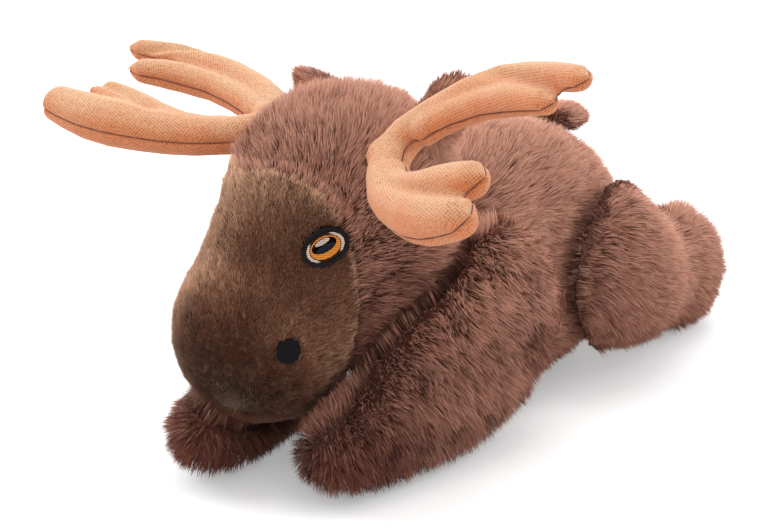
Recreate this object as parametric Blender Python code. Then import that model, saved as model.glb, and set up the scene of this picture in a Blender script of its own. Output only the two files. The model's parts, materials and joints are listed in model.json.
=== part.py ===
"""A lying plush moose, sewn from plush covers round fibre fillings.

The animal lies along Y with its face towards -Y, its left side at +X and the
surface that it lies on at Z = 0. All sizes are in metres.
"""
import math

import bmesh
import bpy
from mathutils import Euler, Matrix, Vector

SIDES = {"left": 1, "right": -1}

# Cloth, seams and clearances
PLUSH_THICK = 0.0020
TWILL_THICK = 0.0012
SEAM_GAP = 0.0004
FILLING_GAP = 0.0008
REST_CUT = 0.0005
OVERRUN = 0.006
THREAD_LIFT = 0.0003
THREAD_THICK = 0.0007

# Torso
TORSO_LENGTH = 0.156
TORSO_WIDTH = 0.068
TORSO_HEIGHT = 0.098
TORSO_FRONT = 0.060
TORSO_BLUNT = 2.6
TORSO_WIDTH_SHARES = (0.90, 1.00, 1.12, 1.14, 1.06, 0.90)
TORSO_TOP_SHARES = (0.74, 0.88, 0.97, 1.00, 0.955, 0.86)
TORSO_BOTTOM_SHARES = (0.12, 0.02, 0.00, 0.00, 0.01, 0.10)
TORSO_SIDES = 32
TORSO_RINGS = 16

# Head: a round skull and a round muzzle joined by a slightly drawn-in cheek
SKULL_RADIUS = 0.041
MUZZLE_RADIUS = 0.0315
MUZZLE_FORWARD = 0.031
MUZZLE_DROP = 0.0388
CHEEK_DRAW = 0.0020
HEAD_RISE = 0.090
HEAD_PLACE = 0.052
HEAD_TURN = math.radians(-26)
HEAD_TILT = math.radians(-2.5)
HEAD_SIDES = 32
SKULL_RINGS = 9
CHEEK_RINGS = 3
MUZZLE_RINGS = 7
FILLING_SIDES = 20
FILLING_RINGS = 9
NECK_GAP = 0.0008
CHIN_GAP = 0.0015
FACE_SEAM_FORWARD = 0.033
FACE_SEAM_ROUND = 0.008
FACE_SEAM_SLOPE = math.radians(27)
FACE_SEAM_LEAN = math.radians(13)
FACE_SEAM_POINTS = 12

# Forelegs, stretched forward beside and under the muzzle
FORELEG_LENGTH = 0.127
FORELEG_WIDTH = 0.042
FORELEG_HEIGHT = 0.085
FORELEG_FRONT = {"left": -0.001, "right": -0.009}
FORELEG_BLUNT = 2.6
FORELEG_OUT = 0.0335
PAW_OUT = {"left": 0.022, "right": 0.024}
FORELEG_WIDTH_SHARES = (0.90, 0.88, 0.92, 0.94, 0.94, 0.88)
FORELEG_TOP_SHARES = (0.44, 0.49, 0.70, 0.92, 1.00, 0.86)
FORELEG_BOTTOM_SHARES = (-0.02, -0.02, 0.00, 0.01, 0.07, 0.18)
FORELEG_DRIFT_SHARES = (0.00, 0.12, 0.46, 0.80, 1.00, 1.00)
SHOULDER_PLACE = 0.098
SHOULDER_SPLAY = {"left": math.radians(12), "right": math.radians(4)}

# Hind legs, stretched back past the rump
HINDLEG_LENGTH = 0.129
HINDLEG_WIDTH = 0.044
HINDLEG_HEIGHT = 0.083
HINDLEG_FRONT = 0.137
HINDLEG_BLUNT = 2.7
HINDLEG_OUT = 0.034
FOOT_OUT = 0.025
HINDLEG_WIDTH_SHARES = (0.92, 1.00, 0.98, 0.80, 0.86, 0.84)
HINDLEG_TOP_SHARES = (0.86, 0.97, 0.82, 0.60, 0.65, 0.58)
HINDLEG_BOTTOM_SHARES = (0.18, 0.13, 0.10, 0.08, -0.06, -0.05)
HINDLEG_DRIFT_SHARES = (0.00, 0.00, 0.15, 0.75, 1.00, 1.00)
HIP_PLACE = 0.172
HIP_RISE = 0.046
HIP_SWING = math.radians(8)
LEG_SIDES = 24
LEG_RINGS = 14
SWEEP_STEPS = 1
SWEEP_STEP_IN = 0.00008
CORE_GAP = 0.0048

# Antlers: a bent tube with two shorter fingers, sewn to the skull by a short root
ANTLER_SIDES = 12
CORE_SIDES = 7
ANTLER_SEAT = Vector((0.85, -0.10, 0.52))
ANTLER_LEAN = {"left": (math.radians(42.8), math.radians(-12.8), math.radians(3.0)),
               "right": (math.radians(10.1), math.radians(-5.7), math.radians(-15.4))}
ANTLER_STAND = {"left": -0.0062, "right": -0.0100}
ANTLER_SLIDE = {"left": 0.0072, "right": -0.0024}
ANTLER_REACH = 0.110
ANTLER_SPREAD = 0.040
ANTLER_ARCH = 0.006
ANTLER_THICK_SHARE = 0.96
# Each stuffed finger: its radius, its rings, its centre line as shares of the reach outwards
# and of the spread backwards, and its width along that line as shares of the radius
FINGERS = {
    "bend": (0.0088, 17,
             ((1.00, 0.30), (0.72, 0.43), (0.41, 0.48), (0.155, 0.19), (0.08, -0.12),
              (0.20, -0.53), (0.37, -0.74), (0.58, -0.89), (0.81, -0.92)),
             (0.44, 0.66, 0.72, 0.74, 0.82, 0.82, 0.95, 1.00, 0.70)),
    "back_finger": (0.0056, 7,
                    ((0.14, 0.00), (0.25, 0.18), (0.45, 0.28), (0.67, 0.25), (0.88, 0.13)),
                    (1.00, 0.98, 0.98, 1.05, 0.75)),
    "front_finger": (0.0072, 7,
                     ((0.13, -0.28), (0.25, -0.53), (0.41, -0.58), (0.55, -0.56), (0.75, -0.52)),
                     (0.95, 0.92, 0.98, 1.06, 0.75)),
    "root": (0.0075, 4,
             ((-0.07, 0.06), (-0.02, 0.04), (0.02, 0.00), (0.06, -0.06), (0.10, -0.12)),
             (1.00, 1.00, 1.00, 1.00, 1.00)),
}

# The right antler's two upper fingers are shorter and bend towards the lower pair
RIGHT_ROUTES = {
    "bend": ((0.90, 0.24), (0.70, 0.42), (0.42, 0.45), (0.155, 0.19), (0.08, -0.12),
             (0.20, -0.53), (0.37, -0.74), (0.58, -0.89), (0.81, -0.92)),
    "back_finger": ((0.14, 0.00), (0.27, 0.13), (0.45, 0.20), (0.63, 0.13), (0.78, -0.06)),
}

# Ears and tail: small lobes that flap on a rounded sewn edge
EAR_LENGTH = 0.024
EAR_WIDTH = 0.018
EAR_THICK = 0.0075
EAR_SEAT = Vector((0.70, 0.36, 0.62))
EAR_TIP = {"left": Vector((0.0359, 0.0265, 0.0447)), "right": Vector((0.0520, 0.0086, 0.0340))}
TAIL_LENGTH = 0.019
TAIL_WIDTH = 0.016
TAIL_THICK = 0.0080
TAIL_SHARE = 0.814
TAIL_LEAN = math.radians(92)
LOBE_ROOT_RADIUS = 0.0024
LOBE_ROOT_WIDTH_SHARE = 0.62
LOBE_SIDES = 12
LOBE_RINGS = 8

# Embroidered eyes and nostrils, laid on the face
EYE_LENGTH = 0.0160
EYE_HEIGHT = 0.0118
EYE_TILT = math.radians(62)
EYE_ALONG = 0.0200
EYE_ROUND = math.radians(27)
EYE_OUTLINE_WIDTH = 0.0013
STITCH_GAP = 0.0003
IRIS_LENGTH = 0.0102
IRIS_HEIGHT = 0.0070
IRIS_RIM = 0.0005
PUPIL_LENGTH = 0.0066
PUPIL_HEIGHT = 0.0020
GLINT_LENGTH = 0.0052
GLINT_HEIGHT = 0.0016
NOSTRIL_WIDTH = 0.0076
NOSTRIL_HEIGHT = 0.0084
NOSTRIL_ALONG = 0.0540
NOSTRIL_ROUND = math.radians(12)
PATCH_SIDES = 16

# Colours, roughness
BROWN_FUR = ((0.150, 0.066, 0.044), 0.95)
TAUPE_FUR = ((0.130, 0.075, 0.042), 0.95)
PEACH_TWILL = ((0.560, 0.270, 0.140), 0.85)
WHITE_FIBRE = ((0.800, 0.790, 0.760), 0.95)
BLACK_THREAD = ((0.010, 0.010, 0.012), 0.60)
AMBER_THREAD = ((0.620, 0.220, 0.040), 0.55)
NAVY_THREAD = ((0.012, 0.014, 0.030), 0.50)
WHITE_THREAD = ((0.700, 0.620, 0.560), 0.55)
GREY_THREAD = ((0.420, 0.380, 0.340), 0.55)

for old in list(bpy.data.objects):
    bpy.data.objects.remove(old, do_unlink=True)


def new_material(name, colour, roughness):
    """Makes a plain material in the piece's colour."""
    material = bpy.data.materials.new(name)
    material.use_nodes = True
    shader = material.node_tree.nodes["Principled BSDF"]
    shader.inputs["Base Color"].default_value = (*colour, 1.0)
    shader.inputs["Roughness"].default_value = roughness
    shader.inputs["Metallic"].default_value = 0.0
    return material


def new_object(name, points, faces, look, parent):
    """Makes one closed solid, facing out, from points in its parent's frame."""
    shape = bmesh.new()
    corners = [shape.verts.new(point) for point in points]
    for face in faces:
        shape.faces.new([corners[corner] for corner in face])
    bmesh.ops.recalc_face_normals(shape, faces=shape.faces)
    mesh = bpy.data.meshes.new(name)
    shape.to_mesh(mesh)
    shape.free()
    mesh.shade_smooth()
    mesh.set_sharp_from_angle(angle=math.radians(50))
    solid = bpy.data.objects.new(name, mesh)
    if look is None:
        solid.hide_render = True
        solid.display_type = "WIRE"
    else:
        mesh.materials.append(new_material(name, *look))
    bpy.context.scene.collection.objects.link(solid)
    solid.parent = parent
    return solid


def new_pivot(name, place, turn=None, parent=None):
    """Makes an empty that a piece hangs from."""
    pivot = bpy.data.objects.new(name, None)
    pivot.location = place
    if turn is not None:
        pivot.rotation_euler = turn
    pivot.parent = parent
    bpy.context.scene.collection.objects.link(pivot)
    return pivot


def boolean(solid, other, operation="DIFFERENCE"):
    """Cuts one solid by another, or joins the two."""
    modifier = solid.modifiers.new(f"{operation.lower()}_{other.name}", "BOOLEAN")
    modifier.operation = operation
    modifier.solver = "EXACT"
    modifier.object = other


def smooth_share(shares, place):
    """Reads a smooth curve through evenly spaced shares at a place from 0 to 1."""
    last = len(shares) - 1
    step = min(int(place * last), last - 1)
    part = place * last - step
    here, there = shares[step], shares[step + 1]
    before = shares[step - 1] if step > 0 else 2 * here - there
    after = shares[step + 2] if step + 2 <= last else 2 * there - here
    return 0.5 * (2 * here + (there - before) * part
                  + (2 * before - 5 * here + 4 * there - after) * part ** 2
                  + (3 * here - before - 3 * there + after) * part ** 3)


def swell(place, blunt):
    """Gives a form's roundness, 0 at its two ends and 1 along its middle."""
    return max(0.0, 1 - abs(2 * place - 1) ** blunt) ** (1 / blunt)


def skin_rings(rings, front, rear):
    """Joins rings of points and two end points into one closed surface."""
    sides = len(rings[0])
    points = [front] + [point for ring in rings for point in ring] + [rear]
    faces = []
    for side in range(sides):
        after = (side + 1) % sides
        faces.append((0, 1 + after, 1 + side))
        for ring in range(len(rings) - 1):
            start = 1 + ring * sides
            faces.append((start + side, start + after, start + sides + after, start + sides + side))
        start = 1 + (len(rings) - 1) * sides
        faces.append((start + side, start + after, len(points) - 1))
    return points, faces


def lying_form(form, inset=0.0, grow=0.0, rings=None, sides=None):
    """Lofts a stuffed form along Y, just deep enough for the surface to flatten it.

    inset draws every wall in, the lowest one to that height, and grow swells the form."""
    rings = rings or form["rings"]
    sides = sides or form["sides"]
    lift = inset - grow
    built = []
    ends = []
    for ring in range(rings + 2):
        place = (1 - math.cos(math.pi * ring / (rings + 1))) / 2
        along = form["front"] + lift + (form["length"] - 2 * lift) * place
        round_share = swell(place, form["blunt"])
        top = form["height"] * smooth_share(form["top_shares"], place)
        bottom = form["height"] * smooth_share(form["bottom_shares"], place) - REST_CUT
        half_wide = form["width"] / 2 * smooth_share(form["width_shares"], place) - lift
        half_high = (top - bottom) / 2 - lift
        middle = Vector((form["out"](place), along, (top + bottom) / 2))
        if ring in (0, rings + 1):
            ends.append(middle)
            continue
        loop = []
        for side in range(sides):
            turn = 2 * math.pi * side / sides
            point = middle + Vector((half_wide * round_share * math.cos(turn), 0,
                                     half_high * round_share * math.sin(turn)))
            if inset:
                point.z = max(point.z, inset)
            if form["flank"]:
                point.x = max(-form["flank"] + lift, min(form["flank"] - lift, point.x))
            loop.append(point)
        built.append(loop)
    return skin_rings(built, *ends)


def surface_block(root):
    """Makes the block that cuts the lying pieces flat where they rest."""
    reach = TORSO_LENGTH + FORELEG_LENGTH + HINDLEG_LENGTH
    points = [Vector((side * TORSO_WIDTH * 2, TORSO_FRONT + end * reach, low))
              for low in (-OVERRUN, 0) for end in (-1, 1) for side in (-1, 1)]
    faces = [(0, 1, 3, 2), (4, 5, 7, 6), (0, 1, 5, 4), (2, 3, 7, 6), (0, 2, 6, 4), (1, 3, 7, 5)]
    return new_object("surface_block", points, faces, None, root)


def leg_out(front_out, rear_out, drift_shares, sign):
    """Gives a leg's distance from the middle line along its length."""
    def out(place):
        return sign * (front_out + (rear_out - front_out) * smooth_share(drift_shares, place))
    return out


TORSO = {
    "length": TORSO_LENGTH, "width": TORSO_WIDTH, "height": TORSO_HEIGHT, "front": TORSO_FRONT,
    "blunt": TORSO_BLUNT, "width_shares": TORSO_WIDTH_SHARES, "top_shares": TORSO_TOP_SHARES,
    "bottom_shares": TORSO_BOTTOM_SHARES, "out": lambda place: 0.0, "flank": TORSO_WIDTH / 2,
    "sides": TORSO_SIDES, "rings": TORSO_RINGS,
}


def foreleg_form(side):
    """Gives the sizes of one foreleg."""
    return {
        "length": FORELEG_LENGTH, "width": FORELEG_WIDTH, "height": FORELEG_HEIGHT,
        "front": FORELEG_FRONT[side], "blunt": FORELEG_BLUNT, "width_shares": FORELEG_WIDTH_SHARES,
        "top_shares": FORELEG_TOP_SHARES, "bottom_shares": FORELEG_BOTTOM_SHARES,
        "out": leg_out(PAW_OUT[side], FORELEG_OUT, FORELEG_DRIFT_SHARES, SIDES[side]),
        "flank": None, "sides": LEG_SIDES, "rings": LEG_RINGS,
    }


def hindleg_form(side):
    """Gives the sizes of one hind leg."""
    return {
        "length": HINDLEG_LENGTH, "width": HINDLEG_WIDTH, "height": HINDLEG_HEIGHT,
        "front": HINDLEG_FRONT, "blunt": HINDLEG_BLUNT, "width_shares": HINDLEG_WIDTH_SHARES,
        "top_shares": HINDLEG_TOP_SHARES, "bottom_shares": HINDLEG_BOTTOM_SHARES,
        "out": leg_out(HINDLEG_OUT, FOOT_OUT, HINDLEG_DRIFT_SHARES, SIDES[side]),
        "flank": None, "sides": LEG_SIDES, "rings": LEG_RINGS,
    }


HEAD_AXIS = Vector((0, -MUZZLE_FORWARD, -MUZZLE_DROP)).normalized()
HEAD_UPRIGHT = HEAD_AXIS.cross(Vector((1, 0, 0))).normalized()
MUZZLE_REACH = math.hypot(MUZZLE_FORWARD, MUZZLE_DROP)
CHEEK_SLOPE = math.asin((SKULL_RADIUS - MUZZLE_RADIUS) / MUZZLE_REACH)


def head_profile(inset=0.0):
    """Gives the head's radius along its axis as points from the nape to the nose."""
    skull, muzzle = SKULL_RADIUS - inset, MUZZLE_RADIUS - inset
    profile = []
    for ring in range(SKULL_RINGS + 1):
        turn = math.pi - (math.pi / 2 + CHEEK_SLOPE) * (ring + 1) / (SKULL_RINGS + 1)
        profile.append((skull * math.cos(turn), skull * math.sin(turn)))
    start = profile[-1]
    end = (MUZZLE_REACH + muzzle * math.sin(CHEEK_SLOPE), muzzle * math.cos(CHEEK_SLOPE))
    for ring in range(1, CHEEK_RINGS + 1):
        part = ring / CHEEK_RINGS
        drawn = CHEEK_DRAW * math.sin(math.pi * part)
        profile.append((start[0] + (end[0] - start[0]) * part,
                        start[1] + (end[1] - start[1]) * part - drawn))
    for ring in range(1, MUZZLE_RINGS + 1):
        turn = (math.pi / 2 - CHEEK_SLOPE) * (1 - ring / (MUZZLE_RINGS + 1))
        profile.append((MUZZLE_REACH + muzzle * math.cos(turn), muzzle * math.sin(turn)))
    return profile


def head_point(along, radius, turn):
    """Places a point of the head: turn 0 is the left side and a quarter turn the brow."""
    return (HEAD_AXIS * along + Vector((1, 0, 0)) * radius * math.cos(turn)
            + HEAD_UPRIGHT * radius * math.sin(turn))


def head_form(inset=0.0, sides=HEAD_SIDES):
    """Turns the head's profile about its axis."""
    skull, muzzle = SKULL_RADIUS - inset, MUZZLE_RADIUS - inset
    rings = []
    for along, radius in head_profile(inset):
        rings.append([head_point(along, radius, 2 * math.pi * side / sides) for side in range(sides)])
    return skin_rings(rings, HEAD_AXIS * -skull, HEAD_AXIS * (MUZZLE_REACH + muzzle))


def surface_radius(along):
    """Reads the head's outer radius at a distance along its axis."""
    profile = head_profile()
    for (first, low), (second, high) in zip(profile, profile[1:]):
        if first <= along <= second:
            return low + (high - low) * (along - first) / (second - first)
    return profile[-1][1]


def ball(radius, sides, rings):
    """Makes the points of a ball about the parent's origin."""
    loops = []
    for ring in range(1, rings):
        turn = math.pi * ring / rings
        loops.append([Vector((radius * math.sin(turn) * math.cos(2 * math.pi * side / sides),
                              -radius * math.cos(turn),
                              radius * math.sin(turn) * math.sin(2 * math.pi * side / sides)))
                      for side in range(sides)])
    points, faces = skin_rings(loops, Vector((0, -radius, 0)), Vector((0, radius, 0)))
    return points, faces


def finger(name, side_name, inset=0.0, sides=ANTLER_SIDES):
    """Lofts one antler finger along its curved centre line, round at both ends."""
    radius, count, route, width_shares = FINGERS[name]
    if side_name == "right":
        route = RIGHT_ROUTES.get(name, route)
    start = list(FINGERS).index(name) * math.pi / sides / 2

    def centre(place):
        out = smooth_share([share[0] for share in route], place)
        back = smooth_share([share[1] for share in route], place)
        return Vector((ANTLER_REACH * out, ANTLER_SPREAD * back, ANTLER_ARCH * out ** 2))
    length = sum((centre((step + 1) / count) - centre(step / count)).length for step in range(count))
    first_round, last_round = radius * width_shares[0] / length, radius * width_shares[-1] / length
    rings = []
    for ring in range(count):
        even = (ring + 1) / (count + 1)
        place = (even + (1 - math.cos(math.pi * even)) / 2) / 2
        run = (centre(min(place + last_round / 4, 1)) - centre(max(place - last_round / 4, 0))).normalized()
        across = Vector((run.y, -run.x, 0)).normalized()
        up = across.cross(run) * ANTLER_THICK_SHARE
        end = min(1.0, place / first_round, (1 - place) / last_round)
        half = radius * smooth_share(width_shares, place) * math.sqrt(1 - (1 - end) ** 2) - inset
        turns = [start + 2 * math.pi * side / sides for side in range(sides)]
        rings.append([centre(place) + half * (across * math.cos(turn) + up * math.sin(turn))
                      for turn in turns])
    first, last = centre(0), centre(1)
    return skin_rings(rings, first + (centre(first_round) - first).normalized() * inset,
                      last + (centre(1 - last_round) - last).normalized() * inset)


def lobe(length, width, thick):
    """Lofts an ear or a tail up Z from a rounded edge along X through the origin."""
    root, under = LOBE_ROOT_RADIUS, LOBE_ROOT_RADIUS / math.sqrt(2)
    half_root = width / 2 * LOBE_ROOT_WIDTH_SHARE / math.sqrt(2)
    rings = [[Vector((half_root * math.cos(2 * math.pi * side / LOBE_SIDES),
                      under * math.sin(2 * math.pi * side / LOBE_SIDES), -under))
              for side in range(LOBE_SIDES)]]
    for ring in range(LOBE_RINGS):
        place = ring / (LOBE_RINGS - 1)
        rise = length * (1 - math.cos(math.pi * place * 0.92)) / 2
        share = rise / length
        body = math.sqrt(max(0.0, 1 - (2 * share - 0.9) ** 2 / 1.21))
        half_wide = width / 2 * max(body, LOBE_ROOT_WIDTH_SHARE * (1 - share))
        half_thick = max(thick / 2 * math.sin(math.pi * min(1.0, share * 0.9 + 0.1)), root * (1 - share))
        rings.append([Vector((half_wide * math.cos(2 * math.pi * side / LOBE_SIDES),
                              half_thick * math.sin(2 * math.pi * side / LOBE_SIDES), rise))
                      for side in range(LOBE_SIDES)])
    return skin_rings(rings, Vector((0, 0, -root)), Vector((0, 0, length)))


def on_face(along, around, lift, sign):
    """Places a point at a height above the face's surface."""
    turn = around if sign > 0 else math.pi - around
    return head_point(along, surface_radius(along) + lift, turn)


def oval(length, height, tilt, rise=0.0):
    """Gives an oval's outline, raised from the eye's middle: round the face and along it."""
    outline = []
    for side in range(PATCH_SIDES):
        turn = 2 * math.pi * side / PATCH_SIDES
        flat, tall = length / 2 * math.cos(turn), height / 2 * math.sin(turn) - rise
        outline.append((flat * math.cos(tilt) - tall * math.sin(tilt),
                        flat * math.sin(tilt) + tall * math.cos(tilt)))
    return outline


def stitched_patch(name, middle, outer, inner, look, parent, sign):
    """Lays a thin stitched oval on the face, or a ring where inner is given."""
    along, around = middle
    radius = surface_radius(along)

    def level(outline, lift):
        return [on_face(along + down, around + across / radius, lift, sign) for across, down in outline]
    low, high = THREAD_LIFT, THREAD_LIFT + THREAD_THICK
    loops = [level(outer, low), level(outer, high)]
    if inner:
        loops += [level(inner, high), level(inner, low)]
    points = [point for loop in loops for point in loop]
    count = len(outer)
    faces = []
    for side in range(count):
        after = (side + 1) % count
        pairs = [(0, 1), (1, 2), (2, 3), (3, 0)] if inner else [(0, 1)]
        for first, second in pairs:
            faces.append((first * count + side, first * count + after,
                          second * count + after, second * count + side))
    if not inner:
        faces += [tuple(range(count)), tuple(range(count, 2 * count))]
    return new_object(name, points, faces, look, parent)


def build_torso(root, head, surface):
    """Makes the torso's cover and filling, dished at the neck where the skull sits."""
    around = {"rings": FILLING_RINGS, "sides": FILLING_SIDES}
    dish = new_object("neck_dish", *head_form(-NECK_GAP), None, head)
    cavity = new_object("torso_cavity", *lying_form(TORSO, PLUSH_THICK, **around), None, root)
    cover = new_object("torso_cover", *lying_form(TORSO), BROWN_FUR, root)
    boolean(cover, surface)
    boolean(cover, cavity)
    boolean(cover, dish)
    core = lying_form(TORSO, PLUSH_THICK + FILLING_GAP, **around)
    filling = new_object("torso_filling", *core, WHITE_FIBRE, root)
    boolean(filling, dish)


def torso_clearance(root, name, pivot_place, turn, grow, **detail):
    """Makes the torso grown by a gap and turned back about a leg's pivot."""
    points, faces = lying_form(TORSO, grow=grow, **detail)
    moved = [pivot_place + turn @ (point - pivot_place) for point in points]
    return new_object(name, moved, faces, None, root)


def build_leg(root, name, form, pivot_place, axis, swing, surface, *extra_cutters):
    """Makes a leg's cover and filling, open and cut to the torso where it is sewn.

    The cover clears the torso at both ends of the leg's swing, and the filling at its middle."""
    pivot = new_pivot(f"{name}_pivot", pivot_place, None, root)
    around = {"rings": FILLING_RINGS, "sides": FILLING_SIDES}
    cover_cutters, core_cutters = list(extra_cutters), list(extra_cutters)
    for step in range(SWEEP_STEPS + 1):
        turn = Matrix.Rotation(-swing * step / SWEEP_STEPS, 4, axis)
        label = f"{name}_clearance_{step}"
        drawn = step * SWEEP_STEP_IN
        cover_cutters.append(torso_clearance(root, label, pivot_place, turn, SEAM_GAP - drawn))
    half_turn = Matrix.Rotation(-swing / 2, 4, axis)
    core_cutters.append(torso_clearance(root, f"{name}_core_clearance", pivot_place, half_turn,
                                        CORE_GAP, sides=FILLING_SIDES))

    def local(built):
        points, faces = built
        return [point - pivot_place for point in points], faces
    cavity = new_object(f"{name}_cavity", *local(lying_form(form, PLUSH_THICK, **around)), None, pivot)
    cover = new_object(f"{name}_cover", *local(lying_form(form)), BROWN_FUR, pivot)
    core = lying_form(form, PLUSH_THICK + FILLING_GAP, **around)
    filling = new_object(f"{name}_filling", *local(core), WHITE_FIBRE, pivot)
    for cutter in [surface, cavity] + cover_cutters:
        boolean(cover, cutter)
    for cutter in core_cutters:
        boolean(filling, cutter)


def seam_block(name, head, sign):
    """Makes the block on one side of the face seam: +1 ahead of it, -1 behind it.

    Seen from above the seam is a rounded wedge, further back at the cheeks than at the brow."""
    reach = 2 * (SKULL_RADIUS + MUZZLE_REACH)
    outline = []
    for step in range(-FACE_SEAM_POINTS, FACE_SEAM_POINTS + 1):
        out = SKULL_RADIUS * 1.1 * step / FACE_SEAM_POINTS
        back = math.tan(FACE_SEAM_SLOPE) * (math.hypot(out, FACE_SEAM_ROUND) - FACE_SEAM_ROUND)
        outline.append((out, back - FACE_SEAM_FORWARD + sign * SEAM_GAP / 2))
    side = outline[-1][0]
    outline += [(side, -sign * reach), (-side, -sign * reach)]
    points = [Vector((out, back - height * math.tan(FACE_SEAM_LEAN), height))
              for height in (-reach, reach) for out, back in outline]
    count = len(outline)
    faces = [(edge, (edge + 1) % count, count + (edge + 1) % count, count + edge) for edge in range(count)]
    faces += [tuple(range(count)), tuple(range(count, 2 * count))]
    return new_object(name, points, faces, None, head)


def build_head(head):
    """Makes the brown head cover, the short-pile face cover and their filling."""
    cavity = new_object("head_cavity", *head_form(PLUSH_THICK, FILLING_SIDES), None, head)
    ahead, behind = seam_block("ahead_of_face_seam", head, 1), seam_block("behind_face_seam", head, -1)
    head_cover = new_object("head_cover", *head_form(), BROWN_FUR, head)
    face_cover = new_object("face_cover", *head_form(), TAUPE_FUR, head)
    boolean(head_cover, cavity)
    boolean(head_cover, ahead)
    boolean(face_cover, cavity)
    boolean(face_cover, behind)
    new_object("head_filling", *head_form(PLUSH_THICK + FILLING_GAP, FILLING_SIDES), WHITE_FIBRE, head)


def build_antler(head, side):
    """Makes one antler: four joined fingers, cut to the skull where it is sewn."""
    sign = SIDES[side]
    seat = ANTLER_SEAT.normalized()
    lean = Euler(ANTLER_LEAN[side]).to_matrix()
    pivot = new_pivot(f"{side}_antler_pivot", (0, 0, 0), None, head)

    def place(name, inset, sides):
        points, faces = finger(name, side, inset, sides)
        stand = Vector((ANTLER_STAND[side], ANTLER_SLIDE[side], 0)) * (name != "root")
        placed = [seat * SKULL_RADIUS + lean @ (point + stand) for point in points]
        return [Vector((sign * point.x, point.y, point.z)) for point in placed], faces

    skull = new_object(f"{side}_antler_seat", *ball(SKULL_RADIUS + SEAM_GAP, HEAD_SIDES, HEAD_SIDES // 2),
                       None, pivot)

    def joined(label, look, inset, sides):
        names = list(FINGERS)
        whole = new_object(label, *place(names[0], inset, sides), look, pivot)
        for name in names[1:]:
            boolean(whole, new_object(f"{label}_{name}", *place(name, inset, sides), None, pivot), "UNION")
        return whole
    cover = joined(f"{side}_antler_cover", PEACH_TWILL, 0.0, ANTLER_SIDES)
    cavity = joined(f"{side}_antler_cavity", None, TWILL_THICK, CORE_SIDES)
    filling = joined(f"{side}_antler_filling", WHITE_FIBRE, TWILL_THICK + SEAM_GAP, CORE_SIDES)
    boolean(cover, skull)
    boolean(cover, cavity)
    boolean(filling, skull)


def build_ear(head, side):
    """Makes one ear, flapping on its sewn edge behind the antler."""
    sign = SIDES[side]
    seat = EAR_SEAT.normalized()
    middle = seat * (SKULL_RADIUS + LOBE_ROOT_RADIUS + SEAM_GAP)
    rise = (EAR_TIP[side] - middle).normalized()
    edge = seat.cross(rise).normalized()
    flat = rise.cross(edge).normalized()
    points, faces = lobe(EAR_LENGTH, EAR_WIDTH, EAR_THICK)
    placed = [edge * point.x + flat * point.y + rise * point.z for point in points]
    placed = [Vector((sign * point.x, point.y, point.z)) for point in placed]
    pivot = new_pivot(f"{side}_ear_pivot", (sign * middle.x, middle.y, middle.z), None, head)
    new_object(f"{side}_ear", placed, faces, BROWN_FUR, pivot)


def build_tail(root):
    """Makes the tail, flapping on its sewn edge on top of the rump."""
    share = TAIL_SHARE
    step = 1 / (4 * TORSO_RINGS)
    def back_height(place):
        top = TORSO_HEIGHT * smooth_share(TORSO_TOP_SHARES, place)
        bottom = TORSO_HEIGHT * smooth_share(TORSO_BOTTOM_SHARES, place) - REST_CUT
        return (top + bottom) / 2 + (top - bottom) / 2 * swell(place, TORSO_BLUNT)
    slope = (back_height(share + step) - back_height(share - step)) / (2 * step * TORSO_LENGTH)
    normal = Vector((0, -slope, 1)).normalized()
    middle = Vector((0, TORSO_FRONT + TORSO_LENGTH * share, back_height(share))) + normal * (LOBE_ROOT_RADIUS + SEAM_GAP)
    turn = Matrix.Rotation(-TAIL_LEAN, 3, "X")
    points, faces = lobe(TAIL_LENGTH, TAIL_WIDTH, TAIL_THICK)
    pivot = new_pivot("tail_pivot", middle, None, root)
    new_object("tail", [turn @ point for point in points], faces, BROWN_FUR, pivot)


def build_embroidery(head, side):
    """Lays one eye, stitched in five colours side by side, and one nostril on the face."""
    sign = SIDES[side]
    eye, gap = (EYE_ALONG, EYE_ROUND), 2 * STITCH_GAP
    hollow = (EYE_LENGTH - 2 * EYE_OUTLINE_WIDTH, EYE_HEIGHT - 2 * EYE_OUTLINE_WIDTH, EYE_TILT)
    white = (hollow[0] - gap, hollow[1] - gap, EYE_TILT)
    core_height = PUPIL_HEIGHT + GLINT_HEIGHT + gap + STITCH_GAP
    core_rise = IRIS_HEIGHT / 2 - core_height / 2 - IRIS_RIM
    pupil_rise = core_rise - core_height / 2 + STITCH_GAP + PUPIL_HEIGHT / 2
    glint_rise = core_rise + core_height / 2 - STITCH_GAP - GLINT_HEIGHT / 2
    layers = {
        "outline": (BLACK_THREAD, (EYE_LENGTH, EYE_HEIGHT, EYE_TILT), hollow),
        "white": (WHITE_THREAD, white, (IRIS_LENGTH + gap, IRIS_HEIGHT + gap, EYE_TILT)),
        "iris": (AMBER_THREAD, (IRIS_LENGTH, IRIS_HEIGHT, EYE_TILT),
                 (PUPIL_LENGTH + PUPIL_HEIGHT, core_height, EYE_TILT, core_rise)),
        "pupil": (NAVY_THREAD, (PUPIL_LENGTH, PUPIL_HEIGHT, EYE_TILT, pupil_rise), None),
        "glint": (GREY_THREAD, (GLINT_LENGTH, GLINT_HEIGHT, EYE_TILT, glint_rise), None),
    }
    for layer, (look, outer, inner) in layers.items():
        hole = inner and oval(*inner)
        stitched_patch(f"{side}_eye_{layer}", eye, oval(*outer), hole, look, head, sign)
    stitched_patch(f"{side}_nostril", (NOSTRIL_ALONG, NOSTRIL_ROUND),
                   oval(NOSTRIL_WIDTH, NOSTRIL_HEIGHT, 0.0), None, BLACK_THREAD, head, sign)


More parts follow.
